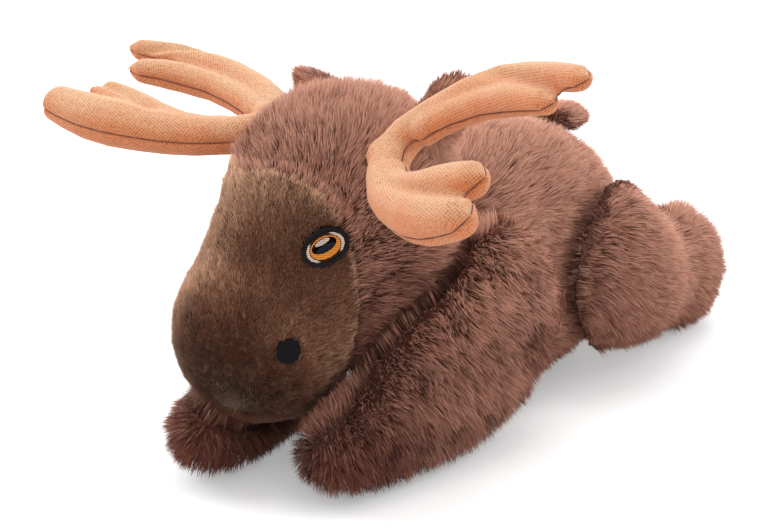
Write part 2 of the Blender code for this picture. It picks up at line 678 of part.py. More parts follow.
def built_bounds():
    """Measures the box round every finished piece."""
    graph = bpy.context.evaluated_depsgraph_get()
    low, high = Vector((1e9, 1e9, 1e9)), Vector((-1e9, -1e9, -1e9))
    for solid in bpy.data.objects:
        if solid.type != "MESH" or solid.hide_render:
            continue
        for corner in solid.evaluated_get(graph).data.vertices:
            point = solid.matrix_world @ corner.co
            low = Vector(map(min, low, point))
            high = Vector(map(max, high, point))
    return low, high


moose = new_pivot("moose", (0, 0, 0))
head_pivot = new_pivot("head_pivot", (0, HEAD_PLACE, HEAD_RISE), (0, HEAD_TILT, HEAD_TURN), moose)
resting_surface = surface_block(moose)
build_torso(moose, head_pivot, resting_surface)
build_head(head_pivot)
head_clearance = new_object("head_clearance", *head_form(-CHIN_GAP), None, head_pivot)
for side_name, side_sign in SIDES.items():
    shoulder = Vector((side_sign * TORSO_WIDTH / 2, SHOULDER_PLACE, FORELEG_HEIGHT / 2))
    build_leg(moose, f"{side_name}_foreleg", foreleg_form(side_name), shoulder, "Z",
              side_sign * SHOULDER_SPLAY[side_name], resting_surface, head_clearance)
    hip = Vector((side_sign * TORSO_WIDTH / 2, HIP_PLACE, HIP_RISE))
    build_leg(moose, f"{side_name}_hindleg", hindleg_form(side_name), hip, "X", HIP_SWING,
              resting_surface)
    build_antler(head_pivot, side_name)
    build_ear(head_pivot, side_name)
    build_embroidery(head_pivot, side_name)
build_tail(moose)

bpy.context.view_layer.update()
low_corner, high_corner = built_bounds()
moose.location = (-(low_corner.x + high_corner.x) / 2, -(low_corner.y + high_corner.y) / 2, -low_corner.z)
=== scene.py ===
"""Dresses the lying plush moose: its pile, stuffed skins, woven antlers and embroidery."""
import json
import math

import bmesh
import bpy
import numpy as np
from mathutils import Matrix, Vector
from mathutils.bvhtree import BVHTree
from mathutils.kdtree import KDTree


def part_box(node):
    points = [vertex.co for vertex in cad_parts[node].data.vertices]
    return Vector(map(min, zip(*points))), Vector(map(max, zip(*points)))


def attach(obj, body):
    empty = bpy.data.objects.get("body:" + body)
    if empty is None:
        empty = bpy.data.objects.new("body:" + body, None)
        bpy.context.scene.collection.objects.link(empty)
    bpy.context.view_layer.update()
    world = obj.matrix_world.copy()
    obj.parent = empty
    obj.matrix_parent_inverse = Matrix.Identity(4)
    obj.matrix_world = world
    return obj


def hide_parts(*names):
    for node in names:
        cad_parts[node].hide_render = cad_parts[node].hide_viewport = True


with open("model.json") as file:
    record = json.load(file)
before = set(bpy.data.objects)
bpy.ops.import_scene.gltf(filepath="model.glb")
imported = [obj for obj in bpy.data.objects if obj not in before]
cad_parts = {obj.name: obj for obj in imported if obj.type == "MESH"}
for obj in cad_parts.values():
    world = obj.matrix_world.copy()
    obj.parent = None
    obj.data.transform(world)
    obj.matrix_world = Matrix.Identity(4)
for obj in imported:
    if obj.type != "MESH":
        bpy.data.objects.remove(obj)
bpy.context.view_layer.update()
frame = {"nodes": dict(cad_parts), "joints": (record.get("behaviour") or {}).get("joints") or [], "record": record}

# Torso: a tube of long-pile plush, sewn shut along the belly and stuffed with loose fibre.
# Its fine pile lies back towards the rump, in soft tufts lit from above, with painted light on top and painted
# shade low down.
PLUSH_LENGTH = 0.0067
PLUSH_INSET = 0.0045
PLUSH_VOXEL = 0.0022
PLUSH_SMOOTH = 4
FILLING_SWELL = 0.0013
FLOOR_CLEAR = 0.0002
TUFTS_PER_SQUARE_MM = 1.05
TUFT_RADIUS = 0.0015
TUFT_STRANDS = 4
STRAND_WIDTH = 0.00034
STRAND_ROOT = 0.0003
MOST_STRANDS = 60000
UNDERSIDE_FACING = -0.75
UNDERSIDE_HEIGHT = 0.012
UNDERSIDE_SHARE = 0.4
NEIGHBOUR_REACH = 0.009
ROOM_NEEDED = 0.0052
LEAST_ROOM = 0.25
SHORTEST_TUFT = 0.35
OPEN_ROOM = 1.5
CROWDED_LEAN = 0.8
STANDS_UP = 0.65
SWIRL_WIDE = 0.016
SWIRL_FINE = 0.006
LEAN_PATCH = 0.006
LENGTH_PATCH = 0.007
TONE_PATCH = 0.004
MAP_HALF = 0.006
MAP_ROOT, MAP_MIDDLE, MAP_TIP = 0.03, 0.5, 0.97
# The brown backing is the knit under the pile, painted dark as the shade between the strands.
SHADED_BROWN_BACKING = (0.120, 0.048, 0.034)
# The dark and light browns also serve as shaded and lit pile: the tone picks painted light and shade between them,
# besides tufts that differ at random.
BROWN_DARK = (0.150, 0.046, 0.030)
BROWN_MIDDLING = (0.410, 0.188, 0.131)
BROWN_LIGHT = (0.690, 0.355, 0.250)
BROWN_SHEEN = (0.900, 0.550, 0.410)
PILE_ROOT_SHADE = (0.34, 0.26, 0.24)
PILE_TIP_SHADE = (1.22, 1.22, 1.22)
KNIT_FINENESS = 900.0
KNIT_RELIEF = 0.0004
# Where the pile gets painted shade near the floor and at the paws, and painted light at the left shoulder.
FLOOR_SHADE_HEIGHT = (0.030, 0.0)
PAW_SHADE_FRONT = (-0.070, -0.100)
PAW_SHADE_HEIGHT = (0.055, 0.025)
SHOULDER_LIGHT_SIDE = (0.015, 0.025)
SHOULDER_LIGHT_FRONT = (0.010, 0.0)
SHOULDER_LIGHT_HEIGHT = (0.045, 0.065)


def numbers(values, key, width, kind=np.float32):
    """Reads one property of every vertex or face into an array."""
    read = np.zeros(len(values) * width, kind)
    values.foreach_get(key, read)
    return read.reshape(-1, width) if width > 1 else read


def unit(vectors):
    """Scales each vector of an array to length one."""
    return vectors / np.maximum(np.linalg.norm(vectors, axis=-1, keepdims=True), 1e-9)


def drift(places, wavelength, seed):
    """Gives each place a smooth chance number, so that neighbouring fibres go together."""
    chance = np.random.default_rng(seed)
    total = np.zeros(len(places))
    for _ in range(8):
        way = unit(chance.normal(0, 1, 3)) * 2 * np.pi / (wavelength * chance.uniform(0.7, 1.5))
        total += np.sin(places @ way + chance.uniform(0, 2 * np.pi))
    return total / 2


def stuffed_skin(name, covers, filling, voxel, inset, smooth):
    """Closes a cover round its filling into one smooth skin, a little inside the cloth."""
    joined = bmesh.new()
    for node in covers + [filling]:
        start = len(joined.verts)
        joined.from_mesh(frame["nodes"][node].data)
        joined.verts.ensure_lookup_table()
        if node == filling:
            swollen = joined.verts[start:]
            moves = [corner.normal * FILLING_SWELL for corner in swollen]
            for corner, move in zip(swollen, moves):
                corner.co += move
    mesh = bpy.data.meshes.new(name)
    joined.to_mesh(mesh)
    joined.free()
    skin = bpy.data.objects.new(name, mesh)
    bpy.context.scene.collection.objects.link(skin)
    close = skin.modifiers.new("close", "REMESH")
    close.mode = "VOXEL"
    close.voxel_size = voxel
    relax = skin.modifiers.new("relax", "SMOOTH")
    relax.factor = 0.5
    relax.iterations = smooth
    draw_in = skin.modifiers.new("draw_in", "DISPLACE")
    draw_in.strength = -inset
    draw_in.mid_level = 0.0
    settled = bpy.data.meshes.new_from_object(skin.evaluated_get(bpy.context.evaluated_depsgraph_get()))
    skin.modifiers.clear()
    skin.data = settled
    settled.shade_smooth()
    places = numbers(settled.vertices, "co", 3)
    places[:, 2] = np.maximum(places[:, 2], FLOOR_CLEAR + inset / 5)
    settled.vertices.foreach_set("co", places.ravel())
    settled.update()
    return skin


def start_material(name, roughness, specular):
    """Makes a material, and gives it with its node tree and its one shader."""
    material = bpy.data.materials.new(name)
    material.use_nodes = True
    shader = material.node_tree.nodes["Principled BSDF"]
    shader.inputs["Roughness"].default_value = roughness
    shader.inputs["Specular IOR Level"].default_value = specular
    return material, material.node_tree, shader


def speckle(tree, scale, detail=2.0):
    """Makes fine chance spots that stay with the piece."""
    place = tree.nodes.new("ShaderNodeTexCoord")
    spots = tree.nodes.new("ShaderNodeTexNoise")
    spots.inputs["Scale"].default_value = scale
    spots.inputs["Detail"].default_value = detail
    tree.links.new(place.outputs["Object"], spots.inputs["Vector"])
    return spots.outputs["Fac"]


def colours_along(tree, source, first, last, start=0.0, end=1.0):
    """Goes from one colour to another as its source rises."""
    run = tree.nodes.new("ShaderNodeValToRGB")
    for stop, place, colour in zip(run.color_ramp.elements, (start, end), (first, last)):
        stop.position = place
        stop.color = (*colour, 1.0)
    tree.links.new(source, run.inputs["Fac"])
    return run


def shades_of(tree, source, colour, darkest, lightest, end=1.0):
    """Goes from a darker to a lighter shade of one colour as its source rises."""
    dark, light = (tuple(share * part for part in colour) for share in (darkest, lightest))
    return colours_along(tree, source, dark, light, end=end).outputs["Color"]


def multiplied(tree, first, second):
    """Shades one colour by another."""
    both = tree.nodes.new("ShaderNodeMix")
    both.data_type = "RGBA"
    both.blend_type = "MULTIPLY"
    both.inputs["Factor"].default_value = 1.0
    tree.links.new(first, both.inputs["A"])
    tree.links.new(second, both.inputs["B"])
    return both.outputs["Result"]


def raise_relief(tree, shader, height, strength, depth):
    """Raises fine relief on a surface."""
    relief = tree.nodes.new("ShaderNodeBump")
    relief.inputs["Strength"].default_value = strength
    relief.inputs["Distance"].default_value = depth
    tree.links.new(height, relief.inputs["Height"])
    tree.links.new(relief.outputs["Normal"], shader.inputs["Normal"])


def backing_cloth(name, colour):
    """Makes the knit that the pile grows from."""
    material, tree, shader = start_material(name, 0.95, 0.1)
    knit = speckle(tree, KNIT_FINENESS)
    tree.links.new(shades_of(tree, knit, colour, 0.6, 1.5), shader.inputs["Base Color"])
    raise_relief(tree, shader, knit, 0.5, KNIT_RELIEF)
    return material


def pile_fibre(name, dark, middling, light, sheen, sheen_weight):
    """Makes the fibre: across its map it goes from dark to light tufts, painted light and shade among them, and up
    it from a root in painted shade to the tip.
    """
    material, tree, shader = start_material(name, 0.75, 0.15)
    shader.inputs["Sheen Weight"].default_value = sheen_weight
    shader.inputs["Sheen Roughness"].default_value = 0.35
    shader.inputs["Sheen Tint"].default_value = (*sheen, 1.0)
    place = tree.nodes.new("ShaderNodeUVMap")
    place.uv_map = "OFBake"
    apart = tree.nodes.new("ShaderNodeSeparateXYZ")
    tree.links.new(place.outputs["UV"], apart.inputs["Vector"])
    tufts = colours_along(tree, apart.outputs["X"], dark, light)
    tufts.color_ramp.elements.new(0.5).color = (*middling, 1.0)
    rise = colours_along(tree, apart.outputs["Y"], PILE_ROOT_SHADE, PILE_TIP_SHADE, 0.05, 0.95)
    shown = multiplied(tree, tufts.outputs["Color"], rise.outputs["Color"])
    tree.links.new(shown, shader.inputs["Base Color"])
    return material


def neighbours_of(body):
    """Gathers the solids of every other body, which the pile must not grow through."""
    corners, faces = [], []
    own = frame["record"]["behaviour"]["bodies"][body]
    for node, thing in frame["nodes"].items():
        if node in own:
            continue
        start = len(corners)
        corners += [corner.co[:] for corner in thing.data.vertices]
        faces += [[start + index for index in face.vertices] for face in thing.data.polygons]
    return BVHTree.FromPolygons(corners, faces)


def sow_tufts(skin, body, density, chance, keep):
    """Picks where tufts grow on a skin, which way is out, and the room before the next body."""
    mesh = skin.data
    mesh.calc_loop_triangles()
    corners = numbers(mesh.loop_triangles, "vertices", 3, np.int32)
    places, normals = numbers(mesh.vertices, "co", 3), numbers(mesh.vertices, "normal", 3)
    first, second, third = (places[corners[:, corner]] for corner in range(3))
    areas = np.linalg.norm(np.cross(second - first, third - first), axis=1) / 2
    count = int(areas.sum() * 1e6 * density)
    chosen = chance.choice(len(corners), count, p=areas / areas.sum())
    shares = chance.dirichlet((1, 1, 1), count)[:, :, None]
    middle = (places[corners[chosen]] * shares).sum(1)
    up = unit((normals[corners[chosen]] * shares).sum(1))
    resting = (up[:, 2] < UNDERSIDE_FACING) & (middle[:, 2] < UNDERSIDE_HEIGHT)
    stays = ~resting | (chance.random(count) < UNDERSIDE_SHARE)
    if keep is not None:
        stays &= keep(middle, up)
    around = neighbours_of(body)
    room = np.full(count, 2.0)
    for index in np.nonzero(stays)[0]:
        away = around.ray_cast(Vector(middle[index]), Vector(up[index]), NEIGHBOUR_REACH)[3]
        if away is not None:
            room[index] = away / ROOM_NEEDED
    stays &= room > LEAST_ROOM
    return middle[stays], up[stays], room[stays]


def strand_piece(name, points, mapped, shade, fibre):
    """Builds one piece of pile: each strand is a flat strip of four corners and a tapered tip."""
    amount = len(points)
    pile = bpy.data.meshes.new(name)
    pile.vertices.add(amount * 5)
    pile.vertices.foreach_set("co", points.astype(np.float32).ravel())
    bases = (np.arange(amount, dtype=np.int32) * 5)[:, None]
    loops = (bases + np.array([[0, 1, 2, 3, 3, 2, 4]], np.int32)).ravel()
    pile.loops.add(len(loops))
    pile.loops.foreach_set("vertex_index", loops)
    pile.polygons.add(2 * amount)
    starts = (np.arange(amount, dtype=np.int32) * 7)[:, None] + np.array([[0, 4]], np.int32)
    pile.polygons.foreach_set("loop_start", starts.ravel())
    pile.update(calc_edges=True)
    fibre_map = pile.uv_layers.new(name="OFBake")
    fibre_map.data.foreach_set("uv", mapped.astype(np.float32).ravel())
    pile.normals_split_custom_set_from_vertices(np.repeat(shade, 5, axis=0).astype(np.float32))
    pile.materials.append(fibre)
    grown = bpy.data.objects.new(name, pile)
    bpy.context.scene.collection.objects.link(grown)
    return grown


def grow_pile(name, skin, body, seed, comb, length, density, tone, fibre, lean=(0.45, 0.92),
              width=STRAND_WIDTH, tuft=TUFT_RADIUS, strands=TUFT_STRANDS, gather=0.15, waviness=0.26,
              spots=0.22, crowded_shade=0.10, roll_most=1.45, keep=None):
    """Grows tufts of fine tapered strands on a skin, combed along a flow.

    comb gives the flow at many places, tone the lightness there, and keep tells which stay.
    lean is how far tufts lie down and roll_most how far strands turn, both in radians."""
    chance = np.random.default_rng(seed)
    middle, up, room = sow_tufts(skin, body, density, chance, keep)
    count = len(middle)
    upright = np.where(room < OPEN_ROOM, CROWDED_LEAN, 1.0)
    room = room.clip(SHORTEST_TUFT, 1)
    flow = unit(comb(middle, up))
    upright *= 1 - STANDS_UP * (flow * up).sum(1) ** 2
    flow = unit(flow - up * (flow * up).sum(1, keepdims=True))
    side = np.cross(flow, up)
    swirl = (waviness * drift(middle, SWIRL_WIDE, seed + 1)
             + 0.4 * waviness * drift(middle, SWIRL_FINE, seed + 2))
    swirl = (swirl + chance.normal(0, 0.12, count))[:, None]
    flow = flow * np.cos(swirl) + side * np.sin(swirl)
    side = np.cross(flow, up)
    # Tufts that crowd against another body get painted shade, a drop in their lightness.
    lightness = (tone(middle, up) - np.where(room < 0.99, crowded_shade, 0)
                 + 0.04 * drift(middle, TONE_PATCH, seed + 3) + chance.normal(0, 0.05, count))
    tuft_length = (length * room * (1 + 0.06 * drift(middle, LENGTH_PATCH, seed + 4))
                   * chance.uniform(0.88, 1.10, count))
    bow = (chance.uniform(*lean, count) + 0.12 * drift(middle, LEAN_PATCH, seed + 5)) * upright
    middle, up, flow, side = (np.repeat(rows, strands, axis=0) for rows in (middle, up, flow, side))
    lightness, tuft_length, bow = (np.repeat(rows, strands) for rows in (lightness, tuft_length, bow))
    total = count * strands
    turn = chance.uniform(0, 2 * np.pi, total)
    out = tuft * np.sqrt(chance.random(total))
    spread = flow * (out * np.cos(turn))[:, None] + side * (out * np.sin(turn))[:, None]
    reach = (tuft_length * chance.uniform(0.75, 1.08, total))[:, None]
    bow = bow[:, None] + chance.normal(0, 0.09, (total, 1))
    root = middle + spread - up * STRAND_ROOT
    rising = up * np.cos(bow * 0.6) + flow * np.sin(bow * 0.6)
    half_way = root + reach * 0.5 * rising - spread * gather * 0.4
    tip = half_way + reach * 0.5 * (up * np.cos(bow) + flow * np.sin(bow)) - spread * gather * 0.6
    roll = chance.uniform(-roll_most, roll_most, total)[:, None]
    across = (side * np.cos(roll) + up * np.sin(roll)) * width
    facing = unit(np.cross(across, tip - root))
    turned = np.where((facing * up).sum(1, keepdims=True) < 0, -1.0, 1.0)
    across, facing = across * turned, facing * turned
    shade = unit(up + facing * 0.5 + chance.normal(0, 0.10, (total, 3)))
    place = np.clip(lightness + chance.normal(0, spots, total), 0.02, 0.98)[:, None]
    wide, narrow = MAP_HALF, MAP_HALF * 0.8
    sideways = np.concatenate([place + step for step in (-wide, wide, narrow, -narrow,
                                                         -narrow, narrow, 0)], axis=1)
    heights = [MAP_ROOT] * 2 + [MAP_MIDDLE] * 4 + [MAP_TIP]
    mapped = np.stack([sideways, np.broadcast_to(heights, (total, 7))], axis=2)
    points = np.stack([root - across / 2, root + across / 2,
                       half_way + across * 0.44, half_way - across * 0.44, tip], axis=1)
    points[:, :, 2] = np.maximum(points[:, :, 2], FLOOR_CLEAR)
    order = chance.permutation(total)
    for number, some in enumerate(np.array_split(order, -(-total // MOST_STRANDS)), start=1):
        grown = strand_piece(f"{name}_{number}", points[some], mapped[some], shade[some], fibre)
        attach(grown, body)


def steady(direction):
    """Combs every tuft the same way, but outwards over the edges that it would part from."""
    way = unit(np.array(direction, float))

    def comb(places, up):
        against = np.clip(-(up @ way) - 0.15, 0, 1)[:, None]
        return way - 2.2 * against * way + 0.35 * against * up
    return comb


def between(values, limits):
    """Goes from 0 at the first limit to 1 at the second, and stays level beyond them."""
    start, end = limits
    return np.clip((values - start) / (end - start), 0, 1)


def lit_and_shaded_tone(places, up):
    """Paints light on the pile's tops, on what faces back and on the left shoulder, and shade at the paws and near
    the floor.
    """
    across, along, height = places.T
    low = between(height, FLOOR_SHADE_HEIGHT)
    paws = between(along, PAW_SHADE_FRONT) * between(height, PAW_SHADE_HEIGHT)
    shoulder = between(across, SHOULDER_LIGHT_SIDE) * between(along, SHOULDER_LIGHT_FRONT)
    shoulder = shoulder * between(height, SHOULDER_LIGHT_HEIGHT)
    behind = np.clip(up[:, 1], 0, 1)
    return 0.60 + 0.26 * up[:, 2] + 0.24 * behind - 0.10 * low - 0.55 * paws + 0.32 * shoulder


shaded_brown_backing = backing_cloth("shaded_brown_backing", SHADED_BROWN_BACKING)
brown_fibre = pile_fibre("brown_fibre", BROWN_DARK, BROWN_MIDDLING, BROWN_LIGHT, BROWN_SHEEN, 0.35)


def dress_plush(piece, body, seed, comb, crowded_shade):
    """Makes one stuffed plush piece: its backing skin and the long pile on it."""
    cover, filling = f"{piece}_cover", f"{piece}_filling"
    skin = stuffed_skin(f"{piece}_skin", [cover], filling, PLUSH_VOXEL, PLUSH_INSET, PLUSH_SMOOTH)
    skin.data.materials.append(shaded_brown_backing)
    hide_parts(cover, filling)
    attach(skin, body)
    grow_pile(f"{piece}_pile", skin, body, seed, comb, PLUSH_LENGTH, TUFTS_PER_SQUARE_MM, lit_and_shaded_tone,
              brown_fibre, crowded_shade=crowded_shade)


dress_plush("torso", "torso", 110, steady((0, 1, -0.35)), 0.1)

# Legs: four stuffed tubes of the same plush, sewn flat to the torso's sides, the front pair
# bent forward under the chin. Their pile is combed towards the paws and feet.
LEG_COMBS = {"foreleg": (0.45, -0.20, -0.85), "hindleg": (0.25, 0.85, -0.50)}
# How much painted shade each leg's pile gets where it crowds against another body.
LEG_CROWDED_SHADE = {"foreleg": 0.24, "hindleg": 0.0}
for leg_seed, side_name in ((210, "left"), (250, "right")):
    outward = 1 if side_name == "left" else -1
    for limb_number, (limb, (across, along, down)) in enumerate(LEG_COMBS.items()):
        piece = f"{side_name}_{limb}"
        dress_plush(piece, piece, leg_seed + limb_number * 20, steady((across * outward, along, down)),
                    LEG_CROWDED_SHADE[limb])

# Head: one stuffed ball and muzzle, with long plush behind the curved face seam and a short,
# dense velvet pile ahead of it. The velvet parts round the sewn eyes and nostrils.
HEAD_VOXEL = 0.0020
HEAD_SMOOTH = 3
FACE_SKIN_INSET = 0.0015
FACE_PILE_LENGTH = 0.0026
FACE_TUFTS_PER_SQUARE_MM = 2.6
FACE_TUFT_RADIUS = 0.0009
FACE_STRAND_WIDTH = 0.00028
TAUPE_BACKING = (0.170, 0.095, 0.060)
STITCHED_BACKING = (0.012, 0.008, 0.008)
# The dark and light taupes also serve as shaded and lit velvet: the tone picks painted light and shade between
# them, besides tufts that differ at random.
TAUPE_DARK = (0.075, 0.020, 0.009)
TAUPE_MIDDLING = (0.270, 0.125, 0.070)
TAUPE_LIGHT = (0.790, 0.480, 0.310)
TAUPE_SHEEN = (0.900, 0.620, 0.440)
STITCH_REACH = 0.003
PILE_OVER_STITCHES = -0.0005
BACKING_ROUND_STITCHES = 0.0002
JAW_SHADE_HEIGHT = (0.100, 0.070)
MOUTH_SHADE_HEIGHT = (0.062, 0.017)
BROW_LIGHT_HEIGHT = (0.082, 0.102)
SHADED_SNOUT_WAY = np.array([0.10, -0.985, -0.10])
SNOUT_PATCH = 0.020

nod = next(joint for joint in frame["joints"] if joint["name"] == "head_nod")
skull_middle = np.array(nod["pos_m"])
face_low, face_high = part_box("face_cover")
nose = np.array([(face_low.x + face_high.x) / 2, face_low.y, face_low.z])


def surface_tree(node):
    """Makes a quick finder of the nearest place on one solid."""
    data = frame["nodes"][node].data
    return BVHTree.FromPolygons([corner.co[:] for corner in data.vertices],
                                [face.vertices[:] for face in data.polygons])


face_tree, head_tree = surface_tree("face_cover"), surface_tree("head_cover")
stitch_places = []
for node in frame["nodes"]:
    if "_eye_outline" in node or "_nostril" in node:
        rim = numbers(frame["nodes"][node].data.vertices, "co", 3)
        axes = np.linalg.svd(rim - rim.mean(0), full_matrices=False)[2]
        stitch_places.append((rim.mean(0), axes, np.abs((rim - rim.mean(0)) @ axes.T).max(0)))


def ahead_of_seam(places):
    """Tells which places lie on the face's side of the seam."""
    return np.array([face_tree.find_nearest(place)[3] < head_tree.find_nearest(place)[3]
                     for place in places])


def clear_of_stitches(places, margin):
    """Tells which places are far enough from the sewn eyes and nostrils."""
    clear = np.ones(len(places), bool)
    for middle, axes, halves in stitch_places:
        near = np.linalg.norm(places - middle, axis=1) < halves[0] + STITCH_REACH
        local = (places - middle) @ axes.T
        inside = (local[:, 0] / (halves[0] + margin)) ** 2 + (local[:, 1] / (halves[1] + margin)) ** 2 < 1
        clear &= ~(near & inside)
    return clear


def head_tone(places, up):
    """Adds painted shade to the head's long pile down the cheeks and under the jaw."""
    jaw = between(places[:, 2], JAW_SHADE_HEIGHT) * np.clip(0.75 - up[:, 2], 0, 1)
    return lit_and_shaded_tone(places, up) - 0.34 * jaw


def face_tone(places, up):
    """Paints light on the velvet of the brow and the snout's top, and shade on its front and round the mouth."""
    low = between(places[:, 2], MOUTH_SHADE_HEIGHT)
    ahead = np.clip(up @ SHADED_SNOUT_WAY, 0, 1) ** 2
    brow = between(places[:, 2], BROW_LIGHT_HEIGHT)
    return (0.80 + 0.34 * up[:, 2] - (0.95 - 0.68 * brow) * ahead - 0.14 * low
            + 0.05 * drift(places, SNOUT_PATCH, 77))


head_skin = stuffed_skin("head_skin", ["head_cover", "face_cover"], "head_filling",
                         HEAD_VOXEL, FACE_SKIN_INSET, HEAD_SMOOTH)
taupe_fibre = pile_fibre("taupe_fibre", TAUPE_DARK, TAUPE_MIDDLING, TAUPE_LIGHT, TAUPE_SHEEN, 0.6)
for backing in (shaded_brown_backing, backing_cloth("taupe_backing", TAUPE_BACKING),
                backing_cloth("stitched_backing", STITCHED_BACKING)):
    head_skin.data.materials.append(backing)
head_places = numbers(head_skin.data.vertices, "co", 3)
head_normals = numbers(head_skin.data.vertices, "normal", 3)
long_piled = ~ahead_of_seam(head_places)
head_places[long_piled] -= head_normals[long_piled] * (PLUSH_INSET - FACE_SKIN_INSET)
head_places[:, 2] = np.maximum(head_places[:, 2], FLOOR_CLEAR)
head_skin.data.vertices.foreach_set("co", head_places.ravel())
head_skin.data.update()
face_middles = np.array([face.center[:] for face in head_skin.data.polygons])
backing_kinds = ahead_of_seam(face_middles).astype(np.int32)
backing_kinds[~clear_of_stitches(face_middles, BACKING_ROUND_STITCHES)] = 2
head_skin.data.polygons.foreach_set("material_index", backing_kinds)
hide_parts("head_cover", "face_cover", "head_filling")
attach(head_skin, "head")
grow_pile("head_pile", head_skin, "head", 310, lambda places, up: places - nose, PLUSH_LENGTH,
          TUFTS_PER_SQUARE_MM, head_tone, brown_fibre, crowded_shade=0.35,
          keep=lambda places, up: ~ahead_of_seam(places))
grow_pile("face_pile", head_skin, "head", 330, lambda places, up: places - nose, FACE_PILE_LENGTH,
          FACE_TUFTS_PER_SQUARE_MM, face_tone, taupe_fibre, lean=(0.85, 1.15),
          width=FACE_STRAND_WIDTH, tuft=FACE_TUFT_RADIUS, gather=0.05, waviness=0.12, spots=0.10,
          roll_most=0.3,
          keep=lambda places, up: ahead_of_seam(places) & clear_of_stitches(places, PILE_OVER_STITCHES))

# Ears and tail: small lobes of the brown plush, each sewn on along one short edge, with a
# shorter pile combed out to a ragged tip. Their roots reach into the pile that they stand in.
LOBE_SIZE = 0.78
LOBE_ROOT = 0.005
LOBE_PILE_LENGTH = 0.0048
LOBE_TUFTS_PER_SQUARE_MM = 2.8


def lobe_tone(places, up):
    """Makes the lobes about as light as the pile behind them, with a little painted light where they face up."""
    return 0.82 + 0.12 * up[:, 2]


for lobe_number, lobe_name in enumerate(("left_ear", "right_ear", "tail")):
    hinge = next(joint for joint in frame["joints"] if joint["child"] == lobe_name)
    edge = np.array(hinge["pos_m"])
    lobe = bpy.data.objects.new(f"{lobe_name}_skin", frame["nodes"][lobe_name].data.copy())
    bpy.context.scene.collection.objects.link(lobe)
    lobe.data.materials.clear()
    lobe.data.materials.append(shaded_brown_backing)
    core = numbers(lobe.data.vertices, "co", 3)
    inward = unit(edge - core.mean(0))
    core = edge + (core - edge) * LOBE_SIZE
    rooted = (((core - core.mean(0)) @ inward) / LOBE_ROOT).clip(0, 1)[:, None]
    lobe.data.vertices.foreach_set("co", (core + inward * rooted * LOBE_ROOT).astype(np.float32).ravel())
    lobe.data.update()
    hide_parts(lobe_name)
    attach(lobe, lobe_name)
    grow_pile(f"{lobe_name}_pile", lobe, lobe_name, 410 + lobe_number * 10, lambda places, up: places - edge,
              LOBE_PILE_LENGTH, LOBE_TUFTS_PER_SQUARE_MM, lobe_tone, brown_fibre,
              lean=(0.9, 1.25), roll_most=0.4)

# Antlers: two layers of peach canvas sewn edge to edge, turned and stuffed, then stitched
# through from the fork inwards so that each pair of fingers parts. A dark thread closes the edge.
CANVAS_VOXEL = 0.0010
CANVAS_INSET = 0.0002
CANVAS_SMOOTH = 5
WEAVE_PITCH = 0.00086
WEAVE_SCALE = 1.10
WEAVE_CONTRAST = 0.28
WEAVE_RELIEF = 0.00025
YARN_FINENESS = 1400.0
CLOUD_FINENESS = 60.0
THREAD_FINENESS = 1500.0
CANVAS_ORANGE = (0.690, 0.245, 0.105)
CANVAS_GOLD = (0.720, 0.450, 0.270)
CANVAS_SHEEN = (1.0, 0.75, 0.60)
YARN_GAP_SHADE = (0.50, 0.42, 0.38)
YARN_TOP = (1.0, 1.0, 1.0)
LAYER_GOLD = 0.05
GOLD_ON_TOP_LAYER_AND_LIGHT = 0.75
# The seam's dark colour is the thread's own, and also the painted shade of the groove beside it.
SEAM_THREAD_AND_SHADE = (0.165, 0.050, 0.027)
SEAM_DEPTH = 0.0007
SEAM_WIDTH = 0.0010
SEAM_SHADE_WIDTH = 0.00035
SEAM_SHADE_SHARE = 0.60
SEAM_THREAD = 0.00017
SEAM_THREAD_SUNK = 0.8 * SEAM_DEPTH
SEAM_WINDOW = 4
SEAM_STITCH = 0.0021
SEAM_ROUNDS = 6
SHORTEST_SEAM = 60
CREASE_DEPTH = 0.0030
CREASE_WIDTH = 0.0019
THROUGH = {"left": (-0.4431, -0.5483, 0.7093), "right": (0.0253, -0.1716, 0.9848)}
CREASES = {"left": (((0.0955, -0.1378, 0.1207), (0.0685, -0.1222, 0.1128), (0.0450, -0.1071, 0.1082)),
                    ((0.1050, -0.1090, 0.1496), (0.0840, -0.0933, 0.1459), (0.0638, -0.0809, 0.1410))),
           "right": (((-0.1094, -0.0659, 0.1134), (-0.0901, -0.0717, 0.1105), (-0.0681, -0.0803, 0.1072)),
                     ((-0.1158, -0.0399, 0.1191), (-0.1009, -0.0324, 0.1189),
                      (-0.0831, -0.0275, 0.1181)))}


def reckon(tree, kind, *values):
    """Does one sum in a material, on plain numbers or on what other nodes give."""
    step = tree.nodes.new("ShaderNodeMath")
    step.operation = kind
    for socket, value in zip(step.inputs, values):
        if isinstance(value, float):
            socket.default_value = value
        else:
            tree.links.new(value, socket)
    return step.outputs[0]


def marked(tree, name):
    """Reads a number that a piece's mesh carries."""
    mark = tree.nodes.new("ShaderNodeAttribute")
    mark.attribute_name = name
    return mark.outputs["Fac"]


